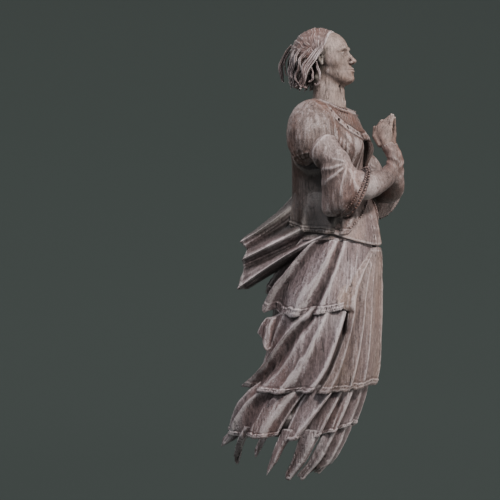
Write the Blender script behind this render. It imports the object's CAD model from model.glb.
"""Looks of the carved wooden ship figurehead: a praying woman in a wind-blown, tiered dress.

She faces -Y, her right side is -X and +Z is up. The origin is the flat seat on her back.
Shapes are worked out in millimetres and turned into metres when a mesh is made.
"""

import bpy
import numpy as np
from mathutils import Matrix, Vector


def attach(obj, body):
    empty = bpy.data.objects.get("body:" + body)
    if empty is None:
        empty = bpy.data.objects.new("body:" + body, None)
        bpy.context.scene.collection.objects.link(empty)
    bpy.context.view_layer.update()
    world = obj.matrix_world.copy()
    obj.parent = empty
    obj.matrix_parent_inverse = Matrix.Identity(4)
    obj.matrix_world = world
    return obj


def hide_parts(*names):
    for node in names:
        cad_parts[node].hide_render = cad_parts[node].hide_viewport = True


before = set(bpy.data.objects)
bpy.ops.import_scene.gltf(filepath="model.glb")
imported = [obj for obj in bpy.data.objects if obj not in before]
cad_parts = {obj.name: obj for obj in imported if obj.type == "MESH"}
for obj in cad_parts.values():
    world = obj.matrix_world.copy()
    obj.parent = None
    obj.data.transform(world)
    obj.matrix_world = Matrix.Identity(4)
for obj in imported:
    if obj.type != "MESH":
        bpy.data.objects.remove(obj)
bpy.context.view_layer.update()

MM = 0.001
NODE = "carved_figure"

# The seat for the stem timber: half the channel's width and the top of its cut
CHANNEL_HALF = 95.0
CHANNEL_TOP = 620.0

# The noise repeats after this many bumps
NOISE_CELLS = 32

# A hidden inner side has one point for this many steps of the outer side
COARSE = 6


# Smooth curves and noise

def ease(value):
    """Turns 0 to 1 into a slow start and a slow end."""
    value = np.clip(value, 0.0, 1.0)
    return value * value * (3.0 - 2.0 * value)


def between(low, high, value):
    """0 below low, 1 above high, eased in between."""
    return ease((value - low) / (high - low))


def hump(value, centre, width):
    """A bell-shaped rise of height 1."""
    return np.exp(-(((value - centre) / width) ** 2))


def noise(points, size, seed):
    """Smooth noise from -1 to 1, with bumps of about the given size (one number or three)."""
    table = np.random.RandomState(seed).uniform(-1.0, 1.0, (NOISE_CELLS,) * 3)
    place = points / np.asarray(size, dtype=float)
    cell = np.floor(place).astype(int)
    part = ease(place - cell)
    total = 0.0
    for corner in np.ndindex(2, 2, 2):
        x, y, z = ((cell + corner) % NOISE_CELLS).T
        a, b, c = np.where(corner, part, 1.0 - part).T
        total = total + a * b * c * table[x, y, z]
    return total


def flute_noise(across, down, size_across, size_down, seed):
    """Noise drawn out along a fold, on two arrays."""
    across, down = np.broadcast_arrays(across, down)
    points = np.stack([across / size_across, down / size_down, across * 0.0], axis=-1)
    return noise(points.reshape(-1, 3), 1.0, seed).reshape(across.shape)


def curve_through(points, count):
    """Evenly counted points on a smooth curve through a few given ones."""
    points = np.asarray(points, dtype=float)
    ends = np.vstack([2 * points[0] - points[1], points, 2 * points[-1] - points[-2]])
    place = np.linspace(0, len(points) - 1, count)
    k = np.minimum(place.astype(int), len(points) - 2)
    t = (place - k)[:, None]
    a, b, c, d = ends[k], ends[k + 1], ends[k + 2], ends[k + 3]
    return 0.5 * (
        2 * b + (c - a) * t + (2 * a - 5 * b + 4 * c - d) * t**2 + (3 * b - a - 3 * c + d) * t**3
    )


def softened(line, size, reach):
    """A line of numbers, each averaged with its neighbours by a bell of the given size."""
    window = np.exp(-0.5 * (np.arange(-reach, reach + 1) / size) ** 2)
    padded = np.pad(line, reach, mode="edge")
    return np.convolve(padded, window / window.sum(), mode="valid")


def bent(first, middle, last, t):
    """Points between a first and a last one, drawn towards a middle one."""
    return first * (1 - t) ** 2 + 2 * middle * t * (1 - t) + last * t**2


# The body's outline

class Outline:
    """Horizontal sections of a body. Angle 0 is her front and 90 her right side."""

    STEP = 4.0

    def __init__(self, rows, spread=16.0):
        rows = np.array(sorted(rows), dtype=float)
        self.z = np.arange(rows[0, 0] - 120, rows[-1, 0] + 120, self.STEP)
        size = spread / self.STEP
        self.columns = [softened(np.interp(self.z, rows[:, 0], column), size, int(3 * size))
                        for column in rows[:, 1:].T]

    def at(self, z):
        """Front, back, half width and the two squarenesses at a height."""
        return [np.interp(z, self.z, column) for column in self.columns]

    def point(self, angle, z, proud=0.0):
        """Points for arrays of degrees and heights."""
        front, back, half, square, boxy = self.at(z)
        turn = np.radians(angle)
        sine, cosine = np.sin(turn), np.cos(turn)
        power = 2.0 / np.where(cosine < 0, boxy, square)
        x = -(half + proud) * np.sign(sine) * np.abs(sine) ** power
        reach = (back - front) / 2 + proud
        y = (front + back) / 2 - reach * np.sign(cosine) * np.abs(cosine) ** power
        return np.stack(np.broadcast_arrays(x, y, z), axis=-1)


# Height, front, back, half width, squareness in front and behind
SKIRT = Outline([
    (620, -300, -4, 150, 2.3, 2.3), (520, -312, 14, 180, 2.3, 2.3),
    (400, -314, 62, 200, 2.3, 2.3), (300, -314, 112, 208, 2.4, 2.4),
    (220, -314, 128, 214, 2.4, 2.4), (60, -308, 132, 220, 2.4, 2.4),
    (0, -302, 146, 222, 2.4, 2.4), (-60, -294, 192, 224, 2.4, 2.4),
    (-143, -264, 262, 226, 2.3, 2.3), (-220, -226, 278, 226, 2.3, 2.3),
    (-300, -186, 280, 218, 2.2, 2.2), (-370, -144, 270, 204, 2.1, 2.1),
    (-452, -60, 244, 180, 2.0, 2.0),
])
BODICE = Outline([
    (1052, -194, -34, 62, 2, 2), (1016, -216, -10, 134, 2.1, 2.2),
    (984, -232, -6, 164, 2.2, 2.6), (930, -248, -3, 174, 2.3, 3.4),
    (880, -258, -2, 170, 2.3, 4), (800, -258, -1, 156, 2.3, 5),
    (725, -256, -1, 148, 2.3, 5), (660, -284, -1, 154, 2.3, 5),
    (600, -302, -1, 168, 2.3, 4), (540, -312, -1, 182, 2.3, 3),
    (470, -316, -1, 196, 2.3, 3),
], spread=12.0)


# Meshes from grids

def thinned(grid):
    """The fewer points of a grid that a hidden inner side needs."""
    return grid[::COARSE, ::COARSE]


def grid_faces(rows, columns, first=0, around=False):
    """Four-cornered faces of a grid of points, closed across its columns if it goes around."""
    last = columns if around else columns - 1
    r, c = np.meshgrid(np.arange(rows - 1), np.arange(last), indexing="ij")
    a = first + r * columns + c
    b = first + r * columns + (c + 1) % columns
    return np.stack([a, b, b + columns, a + columns], axis=-1).reshape(-1, 4)


def stitch(long_line, short_line):
    """Three-cornered faces between two lines of point numbers, one with more points."""
    step = (len(long_line) - 1) // (len(short_line) - 1)
    faces = []
    for k in range(len(short_line) - 1):
        for j in range(step):
            faces.append((long_line[k * step + j], long_line[k * step + j + 1], short_line[k]))
        faces.append((long_line[(k + 1) * step], short_line[k + 1], short_line[k]))
    return faces


def closed_sheet(outer, inner):
    """Points and faces of a thick sheet. The inner grid may be coarser by a whole step."""
    rows, columns = outer.shape[:2]
    near_rows, near_columns = inner.shape[:2]
    start = rows * columns
    points = np.vstack([outer.reshape(-1, 3), inner.reshape(-1, 3)])
    faces = grid_faces(rows, columns).tolist()
    faces += grid_faces(near_rows, near_columns, start)[:, ::-1].tolist()
    front = np.arange(start).reshape(rows, columns)
    back = start + np.arange(near_rows * near_columns).reshape(near_rows, near_columns)
    faces += stitch(front[0][::-1], back[0][::-1])
    faces += stitch(front[-1], back[-1])
    faces += stitch(front[:, 0], back[:, 0])
    faces += stitch(front[:, -1][::-1], back[:, -1][::-1])
    return points, faces


def closed_tube(rings):
    """Points and faces of a tube of rings, rounded off by a centre point at each end."""
    rows, columns = rings.shape[:2]
    points = np.vstack([rings.reshape(-1, 3), rings[0].mean(axis=0), rings[-1].mean(axis=0)])
    faces = grid_faces(rows, columns, around=True).tolist()
    top, bottom = rows * columns, rows * columns + 1
    last = (rows - 1) * columns
    for c in range(columns):
        d = (c + 1) % columns
        faces.append((d, c, top))
        faces.append((last + c, last + d, bottom))
    return points, faces


def face_groups(faces):
    """The three-cornered and the four-cornered faces, each kind as one array."""
    kinds = [[face for face in faces if len(face) == size] for size in (3, 4)]
    return [np.array(kind, dtype=int) for kind in kinds if kind]


def outward(points, faces):
    """Turns all faces round if they enclose a negative volume."""
    volume = 0.0
    for group in face_groups(faces):
        for k in range(1, group.shape[1] - 1):
            a, b, c = points[group[:, 0]], points[group[:, k]], points[group[:, k + 1]]
            volume += np.einsum("ij,ij->i", a, np.cross(b, c)).sum()
    return faces if volume > 0 else [tuple(reversed(face)) for face in faces]


def point_normals(points, faces):
    """Average direction of the faces round each point."""
    normals = np.zeros_like(points)
    for group in face_groups(faces):
        a, b, c = points[group[:, 0]], points[group[:, 1]], points[group[:, 2]]
        facing = np.cross(b - a, c - a)
        if group.shape[1] == 4:
            facing = np.cross(c - a, points[group[:, 3]] - b)
        for column in group.T:
            np.add.at(normals, column, facing)
    return normals / np.maximum(np.linalg.norm(normals, axis=1), 1e-9)[:, None]


def relief(points, faces, normals, rounds=10):
    """How far each point stands above its surroundings, in millimetres. Hollows are negative."""
    edges = [np.stack([start, end], axis=1) for group in face_groups(faces)
             for start, end in zip(group.T, np.roll(group, -1, axis=1).T)]
    first, second = np.vstack(edges).T
    count = np.bincount(np.concatenate([first, second]), minlength=len(points))[:, None]
    smooth = points.copy()
    for _ in range(rounds):
        total = np.stack([np.bincount(first, smooth[second, axis], len(points))
                          + np.bincount(second, smooth[first, axis], len(points))
                          for axis in range(3)], axis=-1)
        smooth = 0.5 * smooth + 0.5 * total / np.maximum(count, 1)
    return np.einsum("ij,ij->i", points - smooth, normals)


def weathered(points, normals, amount):
    """Moves a surface by shallow dents, tool marks and pits of old wood."""
    dents = noise(points, (26, 26, 60), 3) * 0.9
    cuts = noise(points, (5, 5, 26), 5) * 0.35
    pits = np.minimum(noise(points, (7, 7, 11), 8) + 0.45, 0.0) * 2.2
    return points + normals * ((dents + cuts + pits) * amount)[:, None]


def sheltered(points):
    """Where old dirt stays: behind the arms, under the sleeves and below the blown tails."""
    across, deep, z = np.abs(points[:, 0]), points[:, 1], points[:, 2]
    waist = between(492, 530, z) * between(225, 190, across)
    torso = waist * between(-186, -150, deep) * between(850, 800, z)
    under = waist * between(-252, -215, deep) * between(724, 690, z)
    sleeve = hump(deep, -190, 60) * hump(z, 565, 42)
    tails = between(-60, 60, deep) * between(230, 290, z) * between(500, 440, z)
    tails = tails * between(222, 208, across)
    nape = between(-128, -104, deep + 0.25 * (z - 1150)) * between(1112, 1136, z)
    nape = nape * between(1262, 1244, z) * between(26, 50, across)
    dirt = np.maximum(0.95 * torso, 0.8 * under) + 0.4 * sleeve + 0.45 * tails + nape
    return np.clip(dirt, 0.0, 1.0)


PIECES = []


def placed(name, data):
    """Puts a mesh, curve, lamp or camera into the scene."""
    made = bpy.data.objects.new(name, data)
    bpy.context.scene.collection.objects.link(made)
    return made


def make_piece(name, points, faces, material, wear=1.0, mirror=False, sharp=50.0, soot=0.0,
               folds=0.0):
    """Makes one carved piece. Folds is how high each point stands on a wide fold."""
    points = np.asarray(points, dtype=float)
    if mirror:
        points = points * (-1.0, 1.0, 1.0)
    faces = outward(points, faces)
    if wear:
        points = weathered(points, point_normals(points, faces), wear)
    normals = point_normals(points, faces)
    mesh = bpy.data.meshes.new(name)
    mesh.from_pydata((points * MM).tolist(), [], [tuple(face) for face in faces])
    rise = relief(points, faces, normals)
    rise = rise - np.median(rise) + folds
    for label, values in (("relief", rise), ("soot", soot * sheltered(points))):
        attribute = mesh.attributes.new(label, "FLOAT", "POINT")
        attribute.data.foreach_set("value", values.astype(np.float32))
    mesh.polygons.foreach_set("use_smooth", [True] * len(mesh.polygons))
    mesh.set_sharp_from_angle(angle=np.radians(sharp))
    mesh.materials.append(material)
    mesh.update()
    PIECES.append(placed(name, mesh))


def both_sides(name, points, faces, material, wear=1.0, **more):
    """Makes a piece on her right side and its mirror image on her left."""
    make_piece(name + "_right", points, faces, material, wear, **more)
    make_piece(name + "_left", points, faces, material, wear, mirror=True, **more)


def clear_channel(points):
    """Presses what would lie in the stem timber's channel against the channel's walls."""
    inside = (points[..., 1] > 0) & (points[..., 2] < CHANNEL_TOP)
    inside &= np.abs(points[..., 0]) < CHANNEL_HALF
    side = np.where(points[..., 0] < 0, -CHANNEL_HALF, CHANNEL_HALF)
    made = points.copy()
    made[..., 0] = np.where(inside, side, points[..., 0])
    return made


# Old wood

BLACK = (0.0, 0.0, 0.0)
WHITE = (1.0, 1.0, 1.0)
RUST = (0.27, 0.095, 0.05)
BARE_CREST = (0.62, 0.54, 0.53)
BARE_FIBRE = (0.74, 0.67, 0.69)
SOOT = (0.3, 0.31, 0.28)

# The relief, in millimetres either way, at which wear and dirt are full
FULL_RELIEF = 2.4


def fill(node, inputs):
    """Sets or links a node's inputs, by name or by number."""
    for key, value in inputs.items():
        named = [socket for socket in node.inputs if socket.enabled and socket.name == key]
        socket = named[0] if named else node.inputs[key]
        if isinstance(value, bpy.types.NodeSocket):
            node.id_data.links.new(value, socket)
        else:
            socket.default_value = (*value, 1.0) if socket.type == "RGBA" else value
    return node


def old_wood(name, tones, red=0.3, bright=0.5, glint=0.0):
    """Weathered wood: grey-brown tones, upright grain, drying cracks, worm holes and stains."""
    material = bpy.data.materials.new(name)
    material.use_nodes = True
    nodes = material.node_tree.nodes
    place = nodes.new("ShaderNodeTexCoord").outputs["Object"]

    def add(kind, output, inputs):
        return fill(nodes.new("ShaderNode" + kind), inputs).outputs[output]

    def stretched(height):
        return add("Mapping", "Vector", {"Vector": place, "Scale": (1.0, 1.0, height)})

    def cloud(height, scale, detail=4.0, roughness=0.6, twist=0.0):
        return add("TexNoise", "Fac", {
            "Vector": stretched(height), "Scale": scale, "Detail": detail,
            "Roughness": roughness, "Distortion": twist})

    def painted(attribute):
        node = nodes.new("ShaderNodeAttribute")
        node.attribute_name = attribute
        return node.outputs["Fac"]

    def ramp(value, *stops):
        node = fill(nodes.new("ShaderNodeValToRGB"), {"Fac": value})
        marks = node.color_ramp.elements
        while len(marks) < len(stops):
            marks.new(0.5)
        for mark, (position, tone) in zip(marks, stops):
            mark.position = position
            mark.color = (*tone, 1.0)
        return node.outputs["Color"]

    def mixed(kind, amount, first, second):
        node = nodes.new("ShaderNodeMix")
        node.data_type = "RGBA"
        node.blend_type = kind
        fill(node, {"Factor": amount, "A": first, "B": second})
        return [socket for socket in node.outputs if socket.enabled][0]

    def sums(kind, first, second):
        node = nodes.new("ShaderNodeMath")
        node.operation = kind
        return fill(node, {0: first, 1: second}).outputs[0]

    patches = cloud(0.6, 7.0, 3.0)
    colour = ramp(patches, *zip((0.3, 0.5, 0.68), tones))
    stains = ramp(cloud(0.35, 5.0, twist=0.4), (0.5, BLACK), (0.68, WHITE))
    colour = mixed("MIX", sums("MULTIPLY", stains, red), colour, RUST)
    grain = cloud(0.05, 170.0, 5.0, 0.65, 0.3)
    specks = cloud(0.7, 420.0, 3.0, 0.7)
    mottle = cloud(0.4, 130.0, 4.0, 0.7, 0.5)
    for amount, pattern, dark, light in (
        (0.62, grain, (0.32, (0.35, 0.32, 0.3)), 0.62),
        (0.5, specks, (0.36, (0.3, 0.26, 0.25)), 0.52),
        (0.6, mottle, (0.38, (0.3, 0.27, 0.26)), 0.55),
    ):
        colour = mixed("MULTIPLY", amount, colour, ramp(pattern, dark, (light, WHITE)))
    cracks = ramp(cloud(0.06, 46.0, 2.0, 0.5, 0.8), (0.488, WHITE), (0.5, BLACK), (0.512, WHITE))
    rare = ramp(cloud(1.0, 9.0, 1.0), (0.52, WHITE), (0.6, BLACK))
    cracks = mixed("LIGHTEN", 1.0, cracks, rare)
    colour = mixed("MULTIPLY", 0.8, colour, cracks)
    holes = add("TexVoronoi", "Distance", {"Vector": stretched(1.0), "Scale": 62.0})
    holes = ramp(holes, (0.08, BLACK), (0.13, WHITE))
    holes = mixed("LIGHTEN", 1.0, holes, ramp(patches, (0.5, WHITE), (0.6, BLACK)))
    colour = mixed("MULTIPLY", 0.85, colour, holes)

    raised = add("MapRange", "Result", {
        "Value": painted("relief"), "From Min": -FULL_RELIEF, "From Max": FULL_RELIEF})
    worn = ramp(raised, (0.06, (0.2, 0.17, 0.16)), (0.42, (0.78, 0.75, 0.74)), (0.56, WHITE))
    colour = mixed("MULTIPLY", 0.9, colour, worn)
    crest = ramp(raised, (0.54, BLACK), (0.7, WHITE), (0.86, WHITE), (1.0, (0.3, 0.3, 0.3)))
    colour = mixed("MIX", sums("MULTIPLY", crest, bright), colour, BARE_CREST)
    sparks = ramp(cloud(0.6, 260.0, 4.0, 0.8), (0.53, BLACK), (0.62, WHITE))
    sparks = sums("MULTIPLY", sparks, ramp(raised, (0.42, BLACK), (0.6, WHITE)))
    colour = mixed("MIX", sums("MULTIPLY", sparks, glint), colour, BARE_FIBRE)
    colour = mixed("MULTIPLY", sums("MULTIPLY", painted("soot"), 0.95), colour, SOOT)
    shade = nodes.new("ShaderNodeAmbientOcclusion")
    shade.samples = 6
    fill(shade, {"Distance": 0.07})
    depth = ramp(shade.outputs["AO"], (0.25, (0.06, 0.05, 0.045)), (0.85, WHITE))
    colour = mixed("MULTIPLY", 0.7, colour, depth)

    dull = add("MapRange", "Result", {"Value": grain, "To Min": 0.48, "To Max": 0.74})
    bumps = sums("ADD", sums("MULTIPLY", grain, 0.7), sums("MULTIPLY", specks, 0.5))
    bumps = sums("ADD", bumps, sums("MULTIPLY", cracks, 1.2))
    bumps = sums("ADD", sums("ADD", bumps, holes), mottle)
    bump = add("Bump", "Normal", {"Height": bumps, "Strength": 0.75, "Distance": 0.0022})
    fill(nodes["Principled BSDF"], {
        "Base Color": colour, "Roughness": dull, "Specular IOR Level": 0.5, "Normal": bump})
    return material


MAUVE = (0.19, 0.132, 0.13)
BROWN = (0.095, 0.058, 0.047)
BEIGE = (0.36, 0.27, 0.235)

SKIN_WOOD = old_wood("smooth_carved_wood", ((0.16, 0.11, 0.09), (0.31, 0.23, 0.2), (0.47, 0.37, 0.33)),
                     red=0.35, bright=0.35)
HAIR_WOOD = old_wood("hair_wood", (BROWN, (0.17, 0.115, 0.105), (0.26, 0.19, 0.185)), red=0.45)
LOCK_WOOD = old_wood("lock_wood", (BROWN, (0.2, 0.145, 0.14), (0.35, 0.285, 0.29)), red=0.3,
                     bright=0.6, glint=0.5)
DRESS_WOOD = old_wood("dress_wood", (BROWN, (0.17, 0.118, 0.107), (0.27, 0.205, 0.195)), red=0.4,
                      bright=0.22, glint=0.22)
SKIRT_WOOD = old_wood("skirt_wood", (MAUVE, (0.27, 0.2, 0.205), (0.46, 0.39, 0.4)), red=0.35,
                      glint=0.5)
FRONT_WOOD = old_wood("sunlit_dress_wood", (MAUVE, (0.3, 0.215, 0.195), BEIGE), red=0.35,
                      bright=0.3, glint=0.35)
SHOULDER_WOOD = old_wood("shoulder_wood", (BROWN, (0.152, 0.103, 0.09), (0.22, 0.16, 0.145)), red=0.4,
                         bright=0.15, glint=0.25)
SLEEVE_WOOD = old_wood("sleeve_wood", ((0.13, 0.085, 0.075), (0.22, 0.158, 0.145), (0.32, 0.25, 0.24)),
                       red=0.35, bright=0.25, glint=0.25)
HAND_WOOD = old_wood("handled_wood", ((0.11, 0.07, 0.056), (0.185, 0.13, 0.11), (0.28, 0.21, 0.185)),
                     red=0.3, bright=0.35)
DARK_WOOD = old_wood("sheltered_wood", ((0.07, 0.052, 0.045), BROWN, MAUVE), red=0.2)


# Carved cloth

def along(pairs, t):
    """Reads a list of (place, value) pairs."""
    places, values = zip(*pairs)
    return np.interp(t, places, values)


def spelled_out(lines):
    """Fold lines with their angles as (place, angle) pairs, also the straight ones."""
    return [line if len(line) == 3 else ([(0, line[0]), (1, line[1])], *line[2:])
            for line in lines]


def fold_relief(across, t, lines, sharp=1.7):
    """Angle and height over a sheet. Each line is a crest or a hollow with its angles down the
    sheet and its heights at the top and at the hem. A straight one is two angles and two
    heights."""
    lines = spelled_out(lines)
    angles = np.stack([along(path, t[:, 0]) for path, *_ in lines], axis=1)
    angle = angles[:, :1] * (1 - across) + angles[:, -1:] * across
    height = np.zeros(angle.shape)
    grow = np.sqrt(t[:, 0])
    rises = np.stack([low + (high - low) * grow for _, low, high in lines], axis=1)
    for r in range(len(t)):
        k = np.clip(np.searchsorted(angles[r], angle[r], side="right") - 1, 0, len(lines) - 2)
        start, end = angles[r][k], angles[r][k + 1]
        share = np.clip((angle[r] - start) / np.maximum(end - start, 1e-6), 0.0, 1.0)
        first, last = rises[r][k], rises[r][k + 1]
        falling = last + (first - last) * (1 - share) ** sharp
        rising = first + (last - first) * share**sharp
        height[r] = np.where(first > last, falling, rising)
    return angle, height


def softened_rows(grid, size):
    """Softens each row of a grid."""
    return np.stack([softened(row, size, int(3 * size) + 1) for row in grid])


def rounded_edge(distance, reach, amount):
    """Sinks a surface towards an edge."""
    return -amount * np.clip(1.0 - distance / reach, 0.0, 1.0) ** 2


def trim_relief(angle, from_hem, tall, seed):
    """A border of small upright stitches between two raised lines."""
    band = between(tall + 1.0, tall - 2.0, from_hem)
    stitches = flute_noise(angle, from_hem, 0.75, 9.0, seed)
    loops = np.sin(angle * 2.6) * np.sin(from_hem * 2 * np.pi / tall)
    rows = hump(from_hem, tall - 3.0, 2.2) + 0.8 * hump(from_hem, tall * 0.42, 1.8)
    return band * (1.2 + 1.5 * stitches + 0.9 * loops) + 1.8 * rows - 1.2 * hump(
        from_hem, tall + 4.0, 2.5)


def pleated_sheet(
    lines, top, hem, proud, seed, outline=SKIRT, columns=150, rows=150, bend=None,
    hem_trim=0.0, flutes=2.6, thick=13.0, deep=62.0, chips=9.0, hem_dip=0.12, round_off=1.3,
):
    """A sheet of carved cloth on the body's outline. top and hem are heights across it."""
    across = np.linspace(0.0, 1.0, columns + 1)[None, :]
    t = np.linspace(0.0, 1.0, rows + 1)[:, None]
    even, folded = fold_relief(across, t, lines)
    degrees = (even[-1, -1] - even[-1, 0]) / columns
    folded = softened_rows(folded, round_off / degrees)
    across, t = np.broadcast_arrays(across, t)
    angle = bend(even, across, t) if bend else even
    low = along(hem, across) - hem_dip * (folded[-1] - folded[-1].mean())
    worn = flute_noise(angle[-1:], across * 0, 7.0, 1.0, seed) - 0.25
    small = flute_noise(angle[-1:], across * 0, 1.9, 1.0, seed + 5)
    low = low + chips * np.maximum(worn, 0.0) + 0.16 * chips * small
    high = along(top, across)
    z = high * (1 - t) + low * t
    from_hem = z - low
    lift = along(proud, t) + folded
    wide = flute_noise(angle, z, 6.0, 300.0, seed + 1)
    fine = flute_noise(angle, z, 2.1, 130.0, seed + 2)
    lift = lift + flutes * (0.25 + 0.75 * t) * wide + 0.42 * flutes * fine
    lift += rounded_edge(from_hem, 8.0, 4.0)
    edge_gap = np.minimum(angle - angle[:, :1], angle[:, -1:] - angle) * 3.4
    lift += rounded_edge(np.abs(edge_gap), 7.0, 4.0)
    if hem_trim:
        lift += trim_relief(angle, from_hem, hem_trim, seed + 3)
    outer = outline.point(angle, z, lift)
    inner_z = thinned(z).copy()
    close = 1.0 - between(0.0, 46.0, thinned(from_hem))
    hem_lift = lift[-1:, ::COARSE] - thick
    inner_lift = -deep * (1 - close) + hem_lift * close
    inner_z[-1] += 5.0
    inner = outline.point(thinned(angle), inner_z, inner_lift)
    points, faces = closed_sheet(clear_channel(outer), clear_channel(inner))
    middle = softened_rows(folded, 9.0 / degrees)
    folds = 0.065 * (folded - middle) + 0.02 * middle
    folds = np.concatenate([folds.ravel(), np.zeros(inner[..., 0].size)])
    return points, faces, folds


def side_cloth(name, material, wear=1.0, soot=1.0, **shape):
    """A sheet on her right side and its mirror image."""
    points, faces, folds = pleated_sheet(**shape)
    both_sides(name, points, faces, material, wear, soot=soot, folds=folds)


def single_cloth(name, material, wear=1.0, rise=1.0, **shape):
    """A sheet that has no mirror image."""
    points, faces, folds = pleated_sheet(**shape)
    make_piece(name, points, faces, material, wear, folds=rise * folds)


def symmetric(lines):
    """The same lines on both sides of the middle of the front."""
    lines = spelled_out(lines)
    made = [([(t, -a) for t, a in path], low, high) for path, low, high in reversed(lines)]
    return made + [(0, 0, 0, 0)] + lines


side_cloth(
    "overskirt", SKIRT_WOOD,
    top=[(0, 488), (0.33, 502), (0.66, 506), (1, 500)],
    hem=[(0, 240), (0.2, 219), (0.42, 203), (0.62, 206), (0.7, 222), (0.74, 214), (0.79, 262),
         (1, 312)],
    lines=[
        (4, 44, -6, -4), (34, 57, 0, 7), (48, 66, -2, -2),
        ([(0, 58), (0.55, 69), (1, 80)], 0, 11), ([(0, 62), (0.6, 75), (1, 86)], -4, -16),
        ([(0, 69), (0.36, 79), (0.73, 89), (1, 96)], 9, 27), (77, 108, 2, 2),
        ([(0, 86), (0.3, 101), (0.66, 116), (1, 127)], -8, -20),
        ([(0, 91), (0.3, 110), (0.66, 125), (1, 137)], 10, 36),
        (97, 144, 2, 2), (105, 150, -4, -8), (113, 157, 6, 20),
        (118, 161, -2, -4), (124, 168, 2, 16),
    ],
    proud=[(0, 4), (0.5, 2), (1, -2)], seed=21, hem_trim=32.0, columns=174, rows=96,
)

side_cloth(
    "second_tier", SKIRT_WOOD,
    top=[(0, 262), (0.33, 250), (0.66, 232), (1, 190)],
    hem=[(0, -88), (0.3, -95), (0.6, -92), (0.8, -78), (1, -50)],
    lines=[
        ([(0, 44), (0.12, 47), (1, 73)], 4, 6), (48, 77, 6, 12),
        (54, 82, -2, -8), (60, 88, -4, -8),
        ([(0, 66), (0.38, 82), (0.66, 91), (1, 94)], 5, 26),
        (72, 103, 0, 4), (76, 118, 1, 8),
        ([(0, 78), (0.13, 84), (0.46, 106), (0.83, 128), (1, 135)], -6, -20),
        ([(0, 82), (0.13, 89), (0.46, 114), (0.83, 138), (1, 146)], 8, 36),
        (96, 151, 2, -4), (106, 156, 8, 6), (120, 160, 0, -10),
        (138, 163, 4, -8),
    ],
    proud=[(0, -14), (0.2, -8), (1, -2)], seed=31, hem_trim=20.0, columns=144, rows=102,
)

side_cloth(
    "torn_corner", SKIRT_WOOD, 2.0,
    top=[(0, 204), (1, 194)],
    hem=[(0, 92), (0.35, 66), (0.7, 116), (1, 132)],
    lines=[(116, 120, -34, -34), (127, 132, 2, 6), (134, 140, 0, 5),
           (142, 150, 6, 20)],
    proud=[(0, -6), (0.4, 6), (1, 14)], seed=33, columns=36, rows=36, thick=7.0, deep=24.0,
    chips=12.0,
)


def panel_bend(angle, across, t):
    """Turns the panel's own edge in to a hook at knee height."""
    z = 470 - 540 * t
    edge = np.interp(z, [-100, 50, 164, 232, 254, 278, 320, 388, 470],
                     [70, 58, 46, 46, 60, 62, 57, 39, 12])
    even = np.interp(z, [-100, 50, 164, 232, 278, 320, 388, 470],
                     [70, 60, 51, 47, 46, 43, 33, 12])
    place = angle / 70.0
    hook = np.clip((np.abs(place) - 0.84) / 0.16, 0.0, 1.0) ** 1.4
    return place * (even * (1 - hook) + edge * hook)


PANEL_FOLDS = [(10, 0, -2), (19, 2, 12), (24, 0, 2), (31, -2, -8), (39, 3, 18), (45, 0, 2),
               (53, -3, -15), (61, 4, 24), (65, 0, 2), (70, -2, -8)]

single_cloth(
    "front_panel", FRONT_WOOD, rise=0.4,
    top=[(0, 470), (1, 470)],
    hem=[(0, -90), (0.2, -86), (0.5, -70), (0.8, -86), (1, -90)],
    lines=symmetric([(a, a, low, high) for a, low, high in PANEL_FOLDS]),
    proud=[(0, 8), (0.3, 7), (1, 3)], seed=41, hem_trim=26.0, columns=216, rows=120,
    bend=panel_bend, round_off=1.0,
)

single_cloth(
    "turned_edge_left", SKIRT_WOOD,
    top=[(0, 462), (1, 462)], hem=[(0, 320), (0.4, 290), (1, 306)],
    lines=[(-56, -54, -4, -2), (-44, -42, 8, 16), (-34, -35, -6, -6)],
    proud=[(0, -2), (0.4, 14), (1, 12)], seed=43, columns=36, rows=60, thick=8.0, deep=24.0,
)

single_cloth(
    "third_tier_front", SKIRT_WOOD,
    top=[(0, -60), (0.5, -44), (1, -60)],
    hem=[(0, -278), (0.15, -270), (0.3, -250), (0.5, -224), (0.7, -250), (0.85, -270),
         (1, -278)],
    lines=symmetric([
        (8, 9, 2, 12), (13, 15, 0, 0), (18, 20, -2, -9),
        (24, 29, 5, 16), (30, 35, 0, 2), (35, 41, -4, -13),
        ([(0, 40), (0.5, 43), (1, 47)], 7, 20), (43, 53, 0, 0),
        ([(0, 45), (1, 62)], -5, -17), ([(0, 50), (0.5, 59), (1, 71)], 8, 28),
        (62, 76, 0, 2), (77, 81, -3, -12),
    ]),
    proud=[(0, -28), (0.2, -18), (1, -8)], seed=51, columns=216, rows=66, hem_trim=16.0,
)

side_cloth(
    "third_tier", SKIRT_WOOD,
    top=[(0, -64), (0.5, -60), (1, -40)],
    hem=[(0, -262), (0.25, -274), (0.6, -279), (1, -258)],
    lines=[
        (77, 87, -6, -4), (80, 90, -6, -8),
        ([(0, 86), (0.3, 88), (0.75, 93), (1, 96)], 8, 24), (96, 112, 2, 4),
        (103, 126, -5, -18), ([(0, 112), (0.9, 138), (1, 141)], 10, 32),
        (124, 148, 0, 0), (132, 155, 6, 16), (146, 160, -2, -4),
    ],
    proud=[(0, -28), (0.2, -16), (1, -5)], seed=61, columns=126, rows=84, hem_trim=18.0,
)


# The hanging folds of the lowest tier, worn thin by the sea
LOWEST_TIER = dict(top=[(0, -232), (1, -232)], rows=84, thick=9.0, deep=30.0, chips=16.0,
                   flutes=5.0)

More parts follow.
